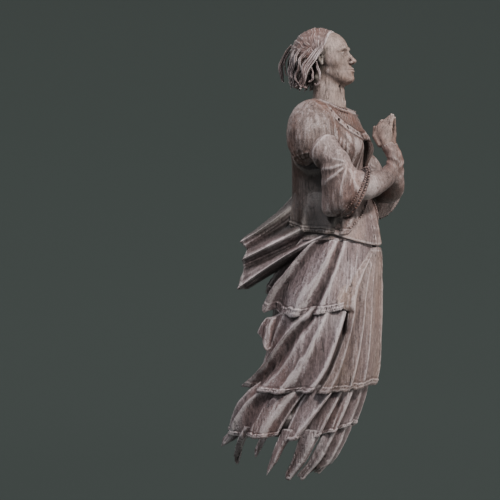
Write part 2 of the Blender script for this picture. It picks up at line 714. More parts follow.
single_cloth(
    "hem_fold_front", SKIRT_WOOD, 2.0,
    lines=symmetric([
        (8, 10, 4, 18), (13, 16, -2, -10), (18, 22, -4, -14),
        (27, 33, 6, 22), (38, 42, -6, -8),
    ]),
    hem=[(0, -428), (0.12, -445), (0.24, -436), (0.38, -402), (0.5, -364), (0.62, -402),
         (0.76, -436), (0.88, -445), (1, -428)],
    proud=[(0, -14), (1, -8)], seed=71, columns=120, **LOWEST_TIER,
)
for name, seed, columns, hang, hem, *lines in (
    ("side", 72, 54, (-14, -8), [(0, -426), (0.2, -438), (0.8, -434), (1, -412)],
     (41, 47, -8, -6), (50, 56, 8, 22), (66, 63, -6, -8)),
    ("sliver", 73, 30, (-14, -8), [(0, -376), (0.6, -420), (1, -392)],
     (71, 82, -6, -4), (76, 86, 6, 16), (84, 90, -8, -6)),
    ("back", 74, 30, (-14, -8), [(0, -364), (0.6, -394), (1, -372)],
     (111, 144, -6, -4), (119, 149, 8, 18), (127, 154, -8, -6)),
    ("tip", 75, 36, (-12, 38), [(0, -312), (0.5, -326), (1, -296)],
     (134, 145, -6, -4), (140, 150, 6, 14), (150, 157, -6, -6)),
):
    side_cloth(f"hem_fold_{name}", SKIRT_WOOD, 2.0, soot=0.0, hem=hem, lines=lines,
               proud=list(enumerate(hang)), seed=seed, columns=columns, **LOWEST_TIER)


# The hidden wood behind the skirts, with the flat seat for the ship's stem

def inner_wood():
    """The core behind the skirts, flat where the stem timber lies against it."""
    rings = []
    for z in np.linspace(604, -268, 56):
        sunk = 30 + 20 * between(-200, -268, z)
        arc = SKIRT.point(np.linspace(-180, 180, 121), np.full(121, z), -sunk)
        behind = arc[:, 1] > 0
        arc[behind & (np.abs(arc[:, 0]) < CHANNEL_HALF), 1] = 0.0
        arc = clear_channel(arc)
        rings.append(arc[:-1])
    return closed_tube(np.array(rings))


make_piece("seat_and_core", *inner_wood(), DARK_WOOD, 0.5)


# Jacket tails blown back on each side. Each line runs from its root to its tip.

TAIL_LINES = [
    ((-112, -6, 676), (-168, 40, 604), (-196, 178, 506)),
    ((-140, -40, 646), (-188, 40, 560), (-206, 168, 490)),
    ((-152, -84, 610), (-186, 6, 538), (-200, 148, 462)),
    ((-172, -134, 570), (-204, -24, 508), (-212, 164, 422)),
    ((-178, -160, 540), (-196, -40, 480), (-204, 164, 392)),
    ((-184, -180, 520), (-206, -44, 466), (-214, 186, 306)),
    ((-180, -196, 500), (-196, -50, 436), (-196, 150, 306)),
]


def jacket_tail():
    """The fluted tail on her right side. Every second line of the list is a crest."""
    columns, rows = 132, 84
    last = len(TAIL_LINES) - 1
    place = np.linspace(0, last, columns + 1)
    roots = curve_through([line[0] for line in TAIL_LINES], columns + 1)
    middles = curve_through([line[1] for line in TAIL_LINES], columns + 1)
    tips = np.stack([np.interp(place, range(last + 1), [line[2][k] for line in TAIL_LINES])
                     for k in range(3)], axis=-1)
    t = np.linspace(0, 1, rows + 1)[:, None, None]
    outer = bent(roots[None], middles[None], tips[None], t)
    place, t = np.broadcast_arrays(place[None, :], t[..., 0])
    away = np.abs(((place + 1) % 2) - 1)
    crest_rise = (np.sqrt(away**2 + 0.012)) ** 1.3
    swell = 36 * (crest_rise - 0.62) * np.sin(np.pi * np.minimum(t * 0.8 + 0.1, 1.0))
    swell += 4.0 * flute_noise(place, t, 0.3, 0.8, 81)
    swell += 1.4 * flute_noise(place, t, 0.13, 0.5, 82)
    swell += rounded_edge((1 - t) * 260, 9.0, 4.0)
    swell += rounded_edge(np.minimum(place, last - place) * 22, 7.0, 4.0)
    outer[..., 0] -= swell
    outer[..., 1] += 8.0 * (t**2) * flute_noise(place, t * 0, 0.5, 1.0, 83)
    inner = thinned(outer).copy()
    inner[..., 0] += 40 - 24 * thinned(t)
    folds = np.concatenate([2.6 * (crest_rise.ravel() - 0.6), np.zeros(inner[..., 0].size)])
    return *closed_sheet(outer, inner), folds


tail_points, tail_faces, tail_folds = jacket_tail()
both_sides("jacket_tail", tail_points, tail_faces, SKIRT_WOOD, soot=1.0, folds=tail_folds)


# Body above the waist

def ball(p, centre, radii):
    """How far points lie outside an egg-shaped form. Negative inside."""
    radii = np.asarray(radii, dtype=p.dtype)
    scaled = (p - np.asarray(centre, dtype=p.dtype)) / radii
    size = np.linalg.norm(scaled, axis=-1)
    return size * (size - 1.0) / np.maximum(np.linalg.norm(scaled / radii, axis=-1), 1e-6)


def rod(p, start, end, radius, end_radius):
    """How far points lie outside a round rod with a radius at each end."""
    start = np.asarray(start, dtype=p.dtype)
    step = np.asarray(end, dtype=p.dtype) - start
    h = np.clip((p - start) @ step / (step @ step), 0.0, 1.0)
    gap = p - start - h[..., None] * step
    return np.linalg.norm(gap, axis=-1) - (radius + (end_radius - radius) * h)


def bust_rise(x, z):
    """How far the bust stands out in front."""
    return 34 * np.exp(-(((np.abs(x) - 74) / 62) ** 2) - ((z - 862) / 58) ** 2)


def outline_gap(outline, points):
    """Roughly how far points lie outside an outline."""
    front, back, half, square, boxy = outline.at(points[..., 2])
    reach = (back - front) / 2
    across = np.abs(points[..., 0]) / half
    deep = (points[..., 1] - (front + back) / 2) / reach
    power = np.where(deep > 0, boxy, square)
    round_size = (across**power + np.abs(deep) ** power) ** (1 / power)
    return (round_size - 1.0) * np.minimum(half, reach)


def merged(gap, reach):
    """How far a surface swells where another one runs into it."""
    return 0.25 * reach * np.clip(1.0 - np.abs(gap) / reach, 0.0, 1.0) ** 2


PUFF = [
    (-94, -98, 1006, 50), (-140, -97, 970, 78), (-163, -103, 918, 90), (-170, -106, 868, 86),
    (-174, -107, 838, 76), (-176, -108, 816, 58), (-177, -110, 806, 30),
]


def puff_gap(points):
    """How far points lie outside the nearer shoulder puff."""
    near = np.full(points.shape[:-1], 1e3)
    folded = points * (-1.0, 1.0, 1.0)
    folded[..., 0] = -np.abs(points[..., 0])
    for start, end in zip(PUFF, PUFF[1:]):
        near = np.minimum(near, rod(folded, start[:3], end[:3], start[3], end[3]))
    return near


# Angle and height of each hole along the trimmed edge of the dress front
BAND_HOLES = [(0, 906), (17, 916), (33, 938), (47, 966), (60, 1000)]


def band_height(angle):
    """Height of the trimmed edge of the dress front at each angle."""
    turned, heights = zip(*BAND_HOLES)
    return np.interp(np.abs(angle), turned, heights)


def collar_height(angle):
    """Height of the edge round the bare neck, lowest in front."""
    return np.interp(np.abs(angle), [0, 35, 60, 90, 140, 180], [1008, 1018, 1034, 1050, 1056, 1056])


def bodice():
    """The jacket's upper part and the chest, with the collar, the holed band and the gathers."""
    columns, rows = 216, 138
    angle = np.linspace(-180, 180, columns + 1)[None, :-1]
    z = (1064 - (1064 - 500) * np.linspace(0, 1, rows) ** 1.2)[:, None]
    angle, z = np.broadcast_arrays(angle, z)
    in_front = between(-0.1, 0.35, np.cos(np.radians(angle)))
    base = BODICE.point(angle, z)
    lift = bust_rise(base[..., 0], z) * in_front
    below = z - band_height(angle)
    front = in_front * between(75, 62, np.abs(angle))
    band = between(-20, -16, below) * between(14, 10, below)
    stitches = flute_noise(angle, z, 1.4, 7.0, 92)
    lift = lift + front * band * (3.0 + 1.3 * stitches)
    lift = lift - front * (1.8 * hump(below, -21, 2.5) + 2.0 * hump(below, 15, 2.5))
    inside = between(14, 18, below) * front
    mesh_work = np.sin(angle * 1.7 + z * 0.11) * np.sin(z * 0.34 - angle * 0.5)
    lift = lift + inside * (0.9 * mesh_work - 1.5)
    for turn, height in BAND_HOLES:
        across = (np.abs(angle) - turn) * 3.2
        hole = (across / 5.0) ** 2 + ((z - height + 3) / 5.5) ** 2
        lift = lift - 11.0 * front * np.exp(-(hole**1.5))
    above = z - collar_height(angle)
    gathers = flute_noise(angle + 0.06 * z, z, 3.6, 100.0, 91)
    hatching = flute_noise(angle + 0.12 * z, z, 1.1, 26.0, 96)
    lift = lift + 0.9 * in_front * hatching * between(-18, -40, below)
    lift = lift + 2.2 * in_front * gathers * between(-18, -50, below)
    side = hump(np.abs(angle), 60, 20) * hump(z, 872, 52)
    sweep = np.abs(np.sin(np.radians(np.abs(angle) * 8.0 - z * 1.6)))
    lift = lift + 11.0 * side * (sweep**0.7 - 0.6)
    lift = lift - 4.0 * hump(z, 716, 7) * in_front
    merge = merged(puff_gap(base), 46.0)
    lift = lift * (0.15 + 0.85 * in_front) + merge
    lift = lift + 2.0 * hump(above, -8, 6) - 26.0 * between(-1, 5, above)
    return closed_tube(BODICE.point(angle, z, lift))


make_piece("jacket_bodice", *bodice(), DRESS_WOOD, soot=1.0)


def dress_front():
    """The smooth front of the dress, with its placket and a short flared hem."""
    columns, rows = 132, 84
    angle = np.linspace(-84, 84, columns + 1)[None, :]
    t = np.linspace(0, 1, rows + 1)[:, None]
    hem = 478 + 56 * (1 - np.cos(np.radians(angle)))
    z = 694 * (1 - t) + hem * t
    angle, z = np.broadcast_arrays(angle, z)
    lift = 1.5 + 9.0 * t * t + 2.0 * flute_noise(angle, z, 14.0, 160.0, 95)
    lift = lift + rounded_edge(z - hem, 8.0, 4.0)
    for side in (-1, 1):
        edge = angle - side * 7.5
        lift = lift - 2.2 * hump(edge, 0, 0.7)
        for height in (508, 548, 590, 632, 672):
            lift = lift - 7.0 * np.exp(-((edge / 1.5) ** 2) - (((z - height) / 5.0) ** 2))
    outer = BODICE.point(angle, z, lift)
    near = thinned(z - hem)
    inner_lift = -46 + 42 * (1.0 - between(0, 40, near))
    inner = BODICE.point(thinned(angle), thinned(z) + 2, inner_lift)
    return closed_sheet(outer, inner)


make_piece("dress_front", *dress_front(), FRONT_WOOD)


# Place along the jacket's front edge, from waist to hem, and its angle there
JACKET_EDGE = [(0, 1), (0.25, 4), (0.62, 30), (0.85, 47), (1, 58)]

side_cloth(
    "jacket_skirt", DRESS_WOOD,
    top=[(0, 712), (1, 712)],
    hem=[(0, 517), (0.3, 521), (0.7, 536), (1, 566)],
    lines=[
        (JACKET_EDGE, 0, 0), (18, 66, 0, 7), (38, 74, 0, -5),
        (52, 84, 1, 9), (70, 95, 0, -6), (86, 107, 1, 9),
        (104, 119, 0, -6), (120, 132, 1, 9), (138, 146, 0, -4),
    ],
    proud=[(0, -8), (0.25, 0), (0.55, 9), (1, 14)], seed=101, outline=BODICE, columns=126, rows=78,
    thick=9.0, deep=50.0, flutes=1.8, chips=3.0, hem_trim=22.0,
)


# Sleeves and arms on her right side, mirrored for her left

def limb(stations, columns, rows, carve=None):
    """Rings round a smooth path. Each station is x, y, z, radius."""
    stations = np.asarray(stations, dtype=float)
    path = curve_through(stations[:, :3], rows)
    t = np.linspace(0, 1, rows)
    radius = np.interp(t, np.linspace(0, 1, len(stations)), stations[:, 3])
    radius = np.convolve(np.pad(radius, 4, mode="edge"), np.ones(9) / 9, mode="valid")
    tangent = np.gradient(path, axis=0)
    tangent /= np.linalg.norm(tangent, axis=1)[:, None]
    side = np.array([1.0, 0.0, 0.0]) - tangent * tangent[:, :1]
    side /= np.linalg.norm(side, axis=1)[:, None]
    other = np.cross(tangent, side)
    turn = np.linspace(0, 2 * np.pi, columns, endpoint=False)[None, :]
    direction = (np.cos(turn)[..., None] * side[:, None, :]
                 + np.sin(turn)[..., None] * other[:, None, :])
    size = radius[:, None] + 0.0 * turn
    if carve is not None:
        size = size + carve(turn, t[:, None])
    return path[:, None, :] + direction * size[..., None]


def oval_rings(ovals, columns, rows):
    """Rings through a few ovals, each a centre and two half axes."""
    centres, highs, wides = (curve_through(line, rows)[:, None] for line in zip(*ovals))
    turn = np.linspace(0, 2 * np.pi, columns, endpoint=False)[None, :, None]
    return centres + highs * np.sin(turn) + wides * np.cos(turn)


def carved(rings, rise_of):
    """A closed tube whose surface is raised by what a function says of its points."""
    points, faces = closed_tube(rings)
    faces = outward(points, faces)
    return points + point_normals(points, faces) * rise_of(points)[:, None], faces


def puff_rise(points):
    """Gathers at the short full sleeve's lower edge, and soft folds over the shoulder."""
    low = between(862, 812, points[:, 2] + 0.16 * (points[:, 1] + 120))
    turned = np.arctan2(points[:, 0] + 150, points[:, 1] + 110)
    gathers = np.abs(np.sin(turned * 13 + 0.02 * points[:, 2])) ** 0.8
    swirl = np.sin(points[:, 1] * 0.052 + points[:, 2] * 0.03 + 1.6 * noise(points, 70, 113))
    rise = 3.0 * low * (gathers - 0.5) + 1.6 * swirl * (1 - low)
    rise += 2.0 * noise(points, (24, 24, 80), 114)
    rise += 0.9 * noise(points, (6, 6, 40), 116)
    ring = points[:, 2] + 0.2 * (points[:, 1] + 120)
    rise = rise + 1.8 * hump(ring, 832, 4.0) + 1.5 * hump(ring, 819, 3.5)
    return rise + merged(outline_gap(BODICE, points), 54.0)


both_sides("shoulder_puff", *carved(limb(PUFF, 108, 84), puff_rise), SHOULDER_WOOD)

SLEEVE_OVALS = [
    ((-176, -122, 884), (0, -36, 27), (-44, 0, 0)),
    ((-186, -152, 848), (0, -46, 33), (-53, 0, 0)),
    ((-198, -208, 806), (0, -46, 28), (-54, 0, 0)),
    ((-202, -226, 738), (0, -64, 40), (-57, -6, 0)),
    ((-203, -250, 668), (0, -79, 70), (-55, -22, -12)),
    ((-194, -306, 684), (0, -45, 92), (-40, -38, -18)),
]
CROOK = np.array([-190.0, -279.0, 782.0])


def sleeve_rise(points):
    """Folds of the wide sleeve that fan out from the crook of the arm."""
    offset = points - CROOK
    distance = np.linalg.norm(offset[:, 1:], axis=1)
    turned = np.arctan2(offset[:, 2], offset[:, 1])
    wave = np.sin(turned * 5.0 + 0.9 * noise(points, 55, 111) + 0.4)
    reach = between(6, 40, distance) * (1 - between(90, 150, distance))
    upper = between(776, 820, points[:, 2])
    height = (5.0 - 3.6 * upper) * (1 - np.abs(wave) ** 1.1) * reach
    height += 2.2 * noise(points, (24, 24, 52), 112)
    height += 0.8 * noise(points, (6, 6, 30), 117)
    return height + merged(puff_gap(points), 62.0)


both_sides("wide_sleeve", *carved(oval_rings(SLEEVE_OVALS, 132, 96), sleeve_rise), SLEEVE_WOOD)


def forearm_folds(turn, t):
    """Wrinkles of the tight undersleeve and its gathers at the wrist."""
    wrinkles = np.sin(turn * 2 + t * 46) * hump(t, 0.62, 0.16)
    gathers = np.abs(np.sin(turn * 7)) ** 0.8 * between(0.8, 0.97, t)
    return 1.8 * wrinkles + 2.6 * gathers


FOREARM = [
    (-208, -262, 716, 58), (-172, -318, 704, 56), (-112, -352, 718, 46), (-56, -376, 744, 36),
    (-34, -392, 784, 26), (-31, -393, 820, 22.3), (-33, -377, 854, 22), (-33, -370, 868, 20),
]
both_sides("undersleeve", *closed_tube(limb(FOREARM, 66, 90, forearm_folds)), SLEEVE_WOOD)


# Solids blended from rounded forms, for head and hands

def joined(a, b, blend):
    """Two fields of distances run together over a soft join of the given size."""
    h = np.clip(0.5 + 0.5 * (b - a) / blend, 0.0, 1.0)
    return b + (a - b) * h - blend * h * (1 - h)


def cut_from(a, b, blend):
    """The first field of distances with the second one cut out of it."""
    return -joined(-a, b, blend)


def surface_of(field, axes):
    """Turns a field of distances into a closed mesh of four-cornered faces. The axes are the
    places along x, y and z at which the field is read."""
    axes = [np.asarray(axis, dtype=np.float32) for axis in axes]
    shape = tuple(len(axis) for axis in axes)
    cells = tuple(n - 1 for n in shape)
    values = np.empty(shape, dtype=np.float32)
    for k in range(shape[0]):
        slab = np.stack(np.meshgrid(axes[0][k:k + 1], axes[1], axes[2], indexing="ij"), axis=-1)
        values[k] = field(slab.reshape(-1, 3)).reshape(shape[1:])
    inside = values < 0

    # Each cell that the surface crosses gets a point amid the crossings of its twelve edges
    total = np.zeros((*cells, 3))
    count = np.zeros(cells)
    for axis in range(3):
        for corner in np.ndindex(2, 2, 2):
            if corner[axis]:
                continue
            other = [c + (n == axis) for n, c in enumerate(corner)]
            a = tuple(slice(c, c + n) for c, n in zip(corner, cells))
            b = tuple(slice(c, c + n) for c, n in zip(other, cells))
            crossing = inside[a] != inside[b]
            gap = np.where(crossing, values[b] - values[a], 1.0)
            share = np.where(crossing, -values[a] / gap, 0.0)
            for n in range(3):
                total[..., n] += np.where(crossing, corner[n] + share * (n == axis), 0.0)
            count += crossing
    active = count > 0
    index = -np.ones(cells, dtype=int)
    index[active] = np.arange(active.sum())
    places = np.argwhere(active) + total[active] / count[active][:, None]
    points = np.stack([np.interp(places[:, n], np.arange(shape[n]), axes[n])
                       for n in range(3)], axis=-1)

    # Each crossed edge gets a face between the points of the four cells round it
    faces = []
    for axis in range(3):
        u, v = [n for n in range(3) if n != axis]
        a = [slice(1, n) for n in cells]
        b = list(a)
        a[axis] = slice(0, cells[axis])
        b[axis] = slice(1, cells[axis] + 1)
        starts = np.argwhere(inside[tuple(a)] != inside[tuple(b)])
        starts += [int(n != axis) for n in range(3)]
        quads = []
        for du, dv in ((0, 0), (1, 0), (1, 1), (0, 1)):
            cell = starts.copy()
            cell[:, u] -= du
            cell[:, v] -= dv
            quads.append(index[tuple(cell.T)])
        quads = np.stack(quads, axis=1)
        flip = inside[tuple(starts.T)] != (axis == 1)
        quads[flip] = quads[flip][:, ::-1]
        faces.append(quads)
    return points, np.vstack(faces).tolist()


def steps(low, fine_low, fine_high, high, fine, coarse):
    """Places along an axis, close together in its middle part."""
    return np.concatenate([
        np.arange(low, fine_low, coarse), np.arange(fine_low, fine_high, fine),
        np.arange(fine_high, high + coarse, coarse),
    ])


# The head is shaped upright, chin at 0 and crown at 228, and then tilted to look up.

HEAD_TILT = np.radians(12.0)
HEAD_PLACE = np.array([0.0, -136.0, 1102.0])
EYE = np.array([31.0, -72.0, 114.0])
EYE_RADIUS = 12.9
LID_RADIUS = 16.0


def into_head(p):
    """Points as the upright head sees them, both sides folded onto one."""
    local = p - HEAD_PLACE.astype(p.dtype)
    c, s = np.cos(HEAD_TILT), np.sin(HEAD_TILT)
    y = local[:, 1] * c - local[:, 2] * s
    z = local[:, 1] * s + local[:, 2] * c
    return np.stack([np.abs(local[:, 0]), y, z], axis=-1)


def head_field(p):
    """How far points lie outside the head: skull, jaw, brow, nose, mouth, eye and ear."""
    q = into_head(p)
    field = ball(q, (0, 0, 148), (75, 92, 80))
    brow = joined(rod(q, (7, -90, 131), (28, -88, 138), 5.5, 6.0),
                  rod(q, (28, -88, 138), (50, -70, 130), 6.0, 4.5), 4.0)
    for form, blend in (
        (ball(q, (0, -34, 92), (61, 59, 88)), 26),
        (ball(q, (0, -40, 34), (46, 50, 36)), 22),
        (ball(q, (49, -44, 90), (17, 24, 18)), 20),
        (rod(q, (49, -14, 58), (20, -66, 20), 10, 15), 20),
        (ball(q, (0, -80, 16), (19, 15, 14)), 12),
        (ball(q, (0, -84, 46), (27, 11, 19)), 12),
        (brow, 9),
    ):
        field = joined(field, form, blend)

    nose = joined(rod(q, (0, -84, 130), (0, -98, 100), 6.5, 7.5),
                  rod(q, (0, -98, 100), (0, -108, 82), 7.5, 9.0), 4.0)
    upper_lip = joined(rod(q, (4.5, -96.8, 54.5), (14, -94, 53.5), 4.4, 3.6),
                       rod(q, (14, -96, 53.5), (24, -87.5, 49.5), 3.6, 1.6), 2.0)
    lower_lip = joined(rod(q, (0, -96.6, 43), (11, -94.5, 43.5), 5.8, 4.6),
                       rod(q, (11, -96, 43.5), (22, -87.5, 48), 4.6, 1.6), 3.0)
    parting = joined(rod(q, (0, -104.0, 48.6), (12, -99.5, 49.6), 1.9, 1.7),
                     rod(q, (12, -99.5, 49.6), (26, -89, 48.4), 1.7, 1.6), 0.8)
    for change, form, blend in (
        (cut_from, ball(q, (30, -97, 117), (19, 20, 13)), 8),
        (cut_from, ball(q, (13, -100, 118), (8, 13, 10)), 8),
        (joined, nose, 7),
        (joined, ball(q, (0, -109, 80.5), (9.5, 9, 8)), 5),
        (joined, ball(q, (12, -97, 77), (7, 10, 7)), 3.5),
        (cut_from, ball(q, (18, -97, 84), (3.5, 9, 5)), 4),
        (cut_from, ball(q, (7, -102, 69.5), (4, 6, 3.2)), 2),
        (cut_from, rod(q, (0, -102, 69), (0, -101, 58), 2.4, 3.0), 4),
        (joined, joined(upper_lip, lower_lip, 0.8) + 1.2, 3.2),
        (cut_from, parting, 1.2),
        (cut_from, ball(q, (0, -103, 31), (19, 9, 5)), 7),
        (cut_from, ball(q, (31, -96, 58), (5, 9, 15)), 10),
    ):
        field = change(field, form, blend)

    eye_gap = np.linalg.norm(q - EYE.astype(q.dtype), axis=-1)
    opening = ball(q, (31.5, -96, 111.8), (14.5, 26, 5.6))
    lids = cut_from(eye_gap - LID_RADIUS, opening, 0.8)
    field = joined(field, np.minimum(lids, eye_gap - EYE_RADIUS), 1.2)
    crease = np.abs(np.linalg.norm(q - (31.0, -80.0, 111.0), axis=-1) - 14.5)
    crease = np.maximum(crease - 1.0, 119.0 - q[:, 2])
    field = cut_from(field, np.maximum(crease, 80.0 + q[:, 1]), 1.6)

    ear = joined(rod(q, (76, 0, 92), (79, -2, 118), 7.5, 10), ball(q, (78, 2, 112), (7, 15, 17)), 5)
    ear = cut_from(ear, ball(q, (87, -6, 108), (8, 8, 12)), 3)
    field = joined(field, ear, 4)
    return np.maximum(field, np.minimum(q[:, 1] + 8.0, q[:, 2] - 120.0))


def neck_field(p):
    """How far points lie outside the neck, with its tendons and a drying split."""
    q = np.stack([np.abs(p[:, 0]), p[:, 1], p[:, 2]], axis=-1)
    field = rod(q, (0, -110, 1160), (0, -122, 1086), 56, 57)
    field = joined(field, rod(q, (0, -122, 1086), (0, -118, 1010), 57, 74), 20)
    tendon = rod(q, (54, -86, 1140), (15, -176, 1044), 9, 8)
    field = joined(field, tendon, 14)
    field = cut_from(field, ball(q, (0, -190, 1046), (9, 14, 14)), 9)
    split = rod(p, (-26, -166, 1140), (-22, -192, 1016), 4.5, 6.5)
    return cut_from(field, split, 5.0)


def head_and_neck(p):
    """The head run into the neck."""
    return joined(head_field(p), neck_field(p), 12)


HEAD_GRID = (steps(-92, -50, 50, 92, 1.5, 4.0), steps(-262, -258, -162, -4, 1.5, 4.0),
             steps(1020, 1128, 1258, 1342, 1.5, 4.0))
make_piece("head", *surface_of(head_and_neck, HEAD_GRID), SKIN_WOOD, 0.3, sharp=70.0, soot=1.0)


def hand_field(p):
    """How far points lie outside her right hand, with four fingers and the thumb."""
    wrist = rod(p, (-33, -374, 856), (-31, -362, 888), 22, 22)
    palm = ball(p, (-29, -354, 914), (14, 37, 40))
    field = joined(wrist, palm, 14)
    field = joined(field, ball(p, (-27, -334, 902), (12, 18, 26)), 8)
    for k in range(4):
        row = -327.0 - k * 17.2
        reach = (964, 979, 985, 975)[k]
        knuckle = (-25.0, row - 3, 936.0)
        middle = (-18.0, row * 0.72 - 0.28 * 394, 960.0)
        tip = (-9.5, row * 0.36 - 0.64 * 393, float(reach))
        finger = joined(rod(p, (-30.0, row, 908.0), knuckle, 9.6, 9.0),
                        rod(p, knuckle, middle, 9.0, 8.2), 2.0)
        finger = joined(finger, rod(p, middle, tip, 8.2, 6.0), 2.0)
        field = joined(field, finger, 2.2)
    thumb = joined(rod(p, (-38, -344, 870), (-32, -322, 902), 12, 10.5),
                   rod(p, (-32, -322, 902), (-18, -317, 938), 10.5, 7.0), 3.0)
    return joined(field, thumb, 5.0)


HAND_GRID = (np.arange(-66, 4, 1.9), np.arange(-416, -294, 1.9), np.arange(830, 1000, 1.9))
both_sides("hand", *surface_of(hand_field, HAND_GRID), HAND_WOOD, 0.3, sharp=70.0)


# Hair, parted in the middle, drawn down over the ears and loose behind

HAIR_CENTRE = np.array([0.0, -76.0, 1228.0])
HAIR_RADII = np.array([95.0, 118.0, 119.0])
EAR_LINE = np.array([0.0, -98.0, 1212.0])


def on_dome(direction, outward_by):
    """Points of the smooth hair dome seen from the line between the ears."""
    start = (EAR_LINE - HAIR_CENTRE) / HAIR_RADII
    step = direction / HAIR_RADII
    a = (step**2).sum(axis=-1)
    b = (step * start).sum(axis=-1)
    c = (start**2).sum() - 1.0
    reach = (-b + np.sqrt(b * b - a * c)) / a
    return EAR_LINE + direction * (reach + outward_by)[..., None]


def combed_hair():
    """Strands run from the parting down to each ear, side by side from the brow to the nape."""
    columns, rows = 186, 132
    side = np.radians(np.linspace(7, 173, columns + 1))[None, :]
    t = np.linspace(0, 1, rows + 1)[:, None]
    side, t = np.broadcast_arrays(side, t)
    edge = 66 - 22 * np.abs(np.cos(side)) ** 3
    around = np.radians(edge * (1 - t) + 208 * t)
    direction = np.stack([-np.cos(side), -np.sin(side) * np.cos(around),
                          np.sin(side) * np.sin(around)], axis=-1)
    sway = 0.10 * np.sin(7.0 * side) + 0.05 * np.sin(17.0 * side + 9.0 * t)
    strand = (t + 0.14 * sway) * 100
    fine = flute_noise(strand, side * 20, 0.9, 14.0, 121)
    thick = flute_noise(strand, side * 20, 4.2, 12.0, 122)
    down = np.abs(np.cos(side)) ** 1.5
    waves = np.sin(30 * np.abs(np.cos(side)) + 7.0 * t + 2.0 * thick) * down
    lift = 1.3 * fine + (1.6 + 3.2 * down) * thick + 2.4 * waves
    lift = lift + 2.5 * hump(t, 0.03, 0.025) - 2.0 * hump(t, 0.09, 0.03) * down
    lift = lift - 3.6 * hump(side, np.pi / 2, 0.035) * between(0.62, 0.5, t)
    lift = lift + rounded_edge(t * 250, 7.0, 6.0) - 4.0
    outer = on_dome(direction, lift)
    inner = on_dome(thinned(direction), thinned(lift) * 0 - 15.0)
    return closed_sheet(outer, inner)


make_piece("combed_hair", *combed_hair(), HAIR_WOOD, 0.4, sharp=60.0)


def hair_fall():
    """Loose wavy hair behind the ears and over the nape, cut into locks at its lower edge."""
    columns, rows = 216, 72
    place = np.linspace(-1, 1, columns + 1)

    def line(*tables):
        """Points along the width, from the middle of the nape to the ear on each side."""
        return np.stack([along(table, np.abs(place)) for table in tables], axis=-1)

    roots = line([(0, 0), (0.2, 34), (0.4, 62), (0.6, 78), (0.8, 80), (1, 68)],
                 [(0, 16), (0.2, 10), (0.4, -12), (0.6, -48), (0.8, -94), (1, -132)],
                 [(0, 1250), (0.6, 1256), (1, 1246)])
    middles = line([(0, 0), (0.2, 44), (0.4, 76), (0.6, 97), (0.8, 104), (1, 102)],
                   [(0, 40), (0.2, 34), (0.4, 14), (0.6, -18), (0.8, -50), (1, -84)],
                   [(0, 1172), (0.6, 1172), (1, 1190)])
    ends = line([(0, 0), (0.2, 30), (0.4, 56), (0.6, 70), (0.8, 80), (1, 84)],
                [(0, 38), (0.2, 32), (0.4, 18), (0.6, 0), (0.8, -22), (1, -44)],
                [(0, 1118), (0.4, 1112), (0.8, 1104), (1, 1112)])
    t = np.linspace(0, 1, rows + 1)[:, None]
    row, t = np.broadcast_arrays(place[None, :], t)
    number = row * 11.5 + 0.5
    sway = 0.34 * np.sin(9.5 * t + 2.4 * np.sin(number * 1.7)) * between(0.05, 0.5, t)
    inside_lock = np.abs(np.sin(np.pi * (number + sway)))
    crest = inside_lock**0.75
    length = flute_noise(number, t * 0, 1.0, 1.0, 131)
    t_end = t[..., None] * (1 - 0.1 * (1 - crest[-1:, :, None]) + 0.1 * length[..., None])
    outer = bent(roots, middles, ends, t_end)
    outer[..., 0] *= np.where(row < 0, -1.0, 1.0)
    away = outer * (1.0, 1.0, 0.0) + (0.0, 42.0, 0.0)
    away /= np.maximum(np.linalg.norm(away, axis=-1), 1.0)[..., None]
    fine = flute_noise(number * 6 + sway * 9, t * 10, 1.0, 5.0, 132)
    curl = np.sin(15.0 * t + 5.0 * np.sin(number * 2.3))
    lift = (5 + 9 * t) * (crest - 0.7) + 1.2 * fine + 2.6 * curl * between(0.2, 0.6, t)
    outer = outer + away * lift[..., None]
    inner_lift = thinned(lift) + 17 - 5 * thinned(t)
    inner = thinned(outer) - thinned(away) * inner_lift[..., None]
    return closed_sheet(outer, inner)


make_piece("loose_hair", *hair_fall(), HAIR_WOOD, 0.4, sharp=60.0, soot=0.75)


def lock(stations, strands=4, twist=2.5, wave=0.0, flat=0.68, columns=28, rows=54, phase=0.0):
    """A lock of hair along a path, grooved like a few twisted strands, that may wave."""
    places = np.linspace(0, 1, len(stations))
    sizes = [station[3] for station in stations]

    def grooves(turn, t):
        split = np.abs(np.sin((turn * strands) / 2 + twist * np.pi * t + phase))
        radius = np.interp(t, places, sizes)
        squash = -radius * (1 - flat) * np.abs(np.cos(turn))
        return squash - radius * 0.42 * (1 - split**0.8) * between(1.0, 0.85, t)

    rings = limb(stations, columns, rows, grooves)
    t = np.linspace(0, 1, rows)[:, None]
    turn = 2 * np.pi * 2.1 * t + phase
    rings[..., 1] += wave * np.sin(turn) * between(0.1, 0.5, t)
    rings[..., 0] += 0.5 * wave * np.cos(turn) * between(0.1, 0.5, t)
    return closed_tube(rings)


